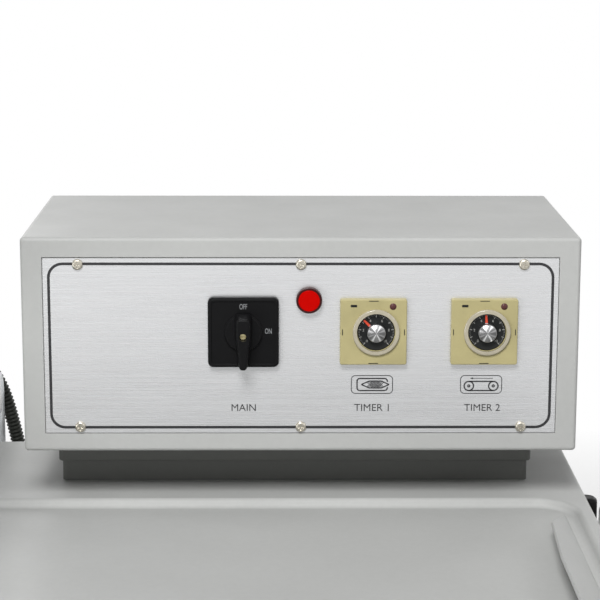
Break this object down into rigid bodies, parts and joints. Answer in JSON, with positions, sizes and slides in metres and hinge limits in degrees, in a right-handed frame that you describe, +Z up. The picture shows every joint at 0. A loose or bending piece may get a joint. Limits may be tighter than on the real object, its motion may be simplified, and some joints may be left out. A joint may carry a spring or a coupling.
{
  "type": "l bar sealer",
  "caption": "Semi-automatic L bar sealer: control head on a loading deck, hinged L-shaped sealing arm over a belt conveyor, film cradle and tube frame.",
  "frame": {"origin": "on the floor, under the middle of the machine's bounding box", "axes": "+X to the operator's right (film cradle end), +Y away from the operator, +Z up"},
  "size_m": [1.3, 0.776, 1.2286],
  "materials": {
    "grey_paint": "satin",
    "panel_aluminium": "brushed",
    "black_plastic": "satin",
    "conduit_plastic": "corrugated",
    "lamp_red": "gloss",
    "timer_beige": "satin",
    "clear_plastic": "gloss",
    "turned_aluminium": "turned",
    "bright_steel": "satin",
    "zinc_steel": "zinc",
    "cast_aluminium": "satin",
    "silicone": "matte",
    "belt_green": "matte",
    "motor_paint": "satin",
    "electric_parts": "matte"
  },
  "bodies": {
    "machine": {"aprons": "grey_paint", "arm_conduit": "conduit_plastic", "cable_glands": "black_plastic", "contactor": "electric_parts", "control_panel": "panel_aluminium", "conveyor_bed": "cast_aluminium", "conveyor_belt": "belt_green", "conveyor_sides": "grey_paint", "cradle_plates": "grey_paint", "cradle_tie": "bright_steel", "deck": "grey_paint", "feeding_timer_bezel": "clear_plastic", "feeding_timer_case": "timer_beige", "film_guide_lip": "grey_paint", "foot_beams": "grey_paint", "gear_motor": "motor_paint", "head_pedestal": "grey_paint", "head_rear_cover": "grey_paint", "head_screws": "bright_steel", "head_shell": "grey_paint", "jaw_pads": "silicone", "knob_bracket": "grey_paint", "legs": "grey_paint", "leveling_feet": "bright_steel", "lower_jaw": "cast_aluminium", "lower_rails": "grey_paint", "lower_shelf": "grey_paint", "magnets": "bright_steel", "pedestal_plinth": "grey_paint", "pilot_lamp_body": "black_plastic", "pilot_lamp_lens": "lamp_red", "pivot_brackets": "zinc_steel", "pivot_shaft": "bright_steel", "return_spring": "bright_steel", "sealing_timer_bezel": "clear_plastic", "sealing_timer_case": "timer_beige", "switch_body": "black_plastic", "switch_plate": "black_plastic", "timer_sockets": "black_plastic", "transformer": "electric_parts", "tube_plugs": "black_plastic", "upper_rails": "grey_paint"},
    "seal_arm": {"arm_hub": "cast_aluminium", "arm_side_limb": "cast_aluminium", "arm_front_limb": "cast_aluminium", "seal_bars": "cast_aluminium", "arm_handle": "bright_steel", "handle_grip": "black_plastic", "keepers": "bright_steel", "arm_gland": "black_plastic"},
    "power_lever": {"switch_knob": "black_plastic", "switch_shaft": "bright_steel"},
    "sealing_dial": {"sealing_timer_dial": "turned_aluminium"},
    "feeding_dial": {"feeding_timer_dial": "turned_aluminium"},
    "drive_roller": {"drive_roller": "bright_steel"},
    "tail_roller": {"tail_roller": "bright_steel"},
    "cradle_roller_left": {"cradle_roller_left": "bright_steel"},
    "cradle_roller_right": {"cradle_roller_right": "bright_steel"},
    "guide_roller": {"guide_roller": "bright_steel"},
    "guide_knob": {"guide_knob": "black_plastic"}
  },
  "joints": [
    {"name": "seal_arm_swing", "type": "hinge", "parent": "machine", "child": "seal_arm", "pos_m": [-0.2135, 0.335, 0.885], "axis": [1, 0, 0], "range_deg": [0, 28], "stiffness_Nm_per_rad": 12, "springref_deg": -171.89, "deforming": ["return_spring", "arm_conduit"]},
    {"name": "power_switch_turn", "type": "hinge", "parent": "machine", "child": "power_lever", "pos_m": [0.1086, 0.115, 0.9896], "axis": [0, 1, 0], "range_deg": [0, 90]},
    {"name": "sealing_time_turn", "type": "hinge", "parent": "machine", "child": "sealing_dial", "pos_m": [0.204, 0.1235, 0.9899], "axis": [0, 1, 0], "range_deg": [-90, 180]},
    {"name": "feeding_length_turn", "type": "hinge", "parent": "machine", "child": "feeding_dial", "pos_m": [0.2838, 0.1235, 0.9899], "axis": [0, 1, 0], "range_deg": [-135, 135]},
    {"name": "drive_roller_spin", "type": "hinge", "parent": "machine", "child": "drive_roller", "pos_m": [-0.62, -0.025, 0.8235], "axis": [0, 1, 0], "continuous": true},
    {"name": "tail_roller_spin", "type": "hinge", "parent": "machine", "child": "tail_roller", "pos_m": [-0.18, -0.025, 0.8235], "axis": [0, 1, 0], "continuous": true},
    {"name": "cradle_roller_left_spin", "type": "hinge", "parent": "machine", "child": "cradle_roller_left", "pos_m": [0.45, 0, 0.65], "axis": [0, 1, 0], "continuous": true},
    {"name": "cradle_roller_right_spin", "type": "hinge", "parent": "machine", "child": "cradle_roller_right", "pos_m": [0.596, 0, 0.65], "axis": [0, 1, 0], "continuous": true},
    {"name": "guide_roller_spin", "type": "hinge", "parent": "machine", "child": "guide_roller", "pos_m": [0.421, 0, 0.792], "axis": [0, 1, 0], "continuous": true},
    {"name": "guide_knob_turn", "type": "hinge", "parent": "machine", "child": "guide_knob", "pos_m": [0.3805, 0.26, 0.8], "axis": [0, 0, 1], "range_deg": [-360, 360]}
  ],
  "couplings": [
    {"joint": "tail_roller_spin", "follows": "drive_roller_spin", "ratio": 1}
  ]
}
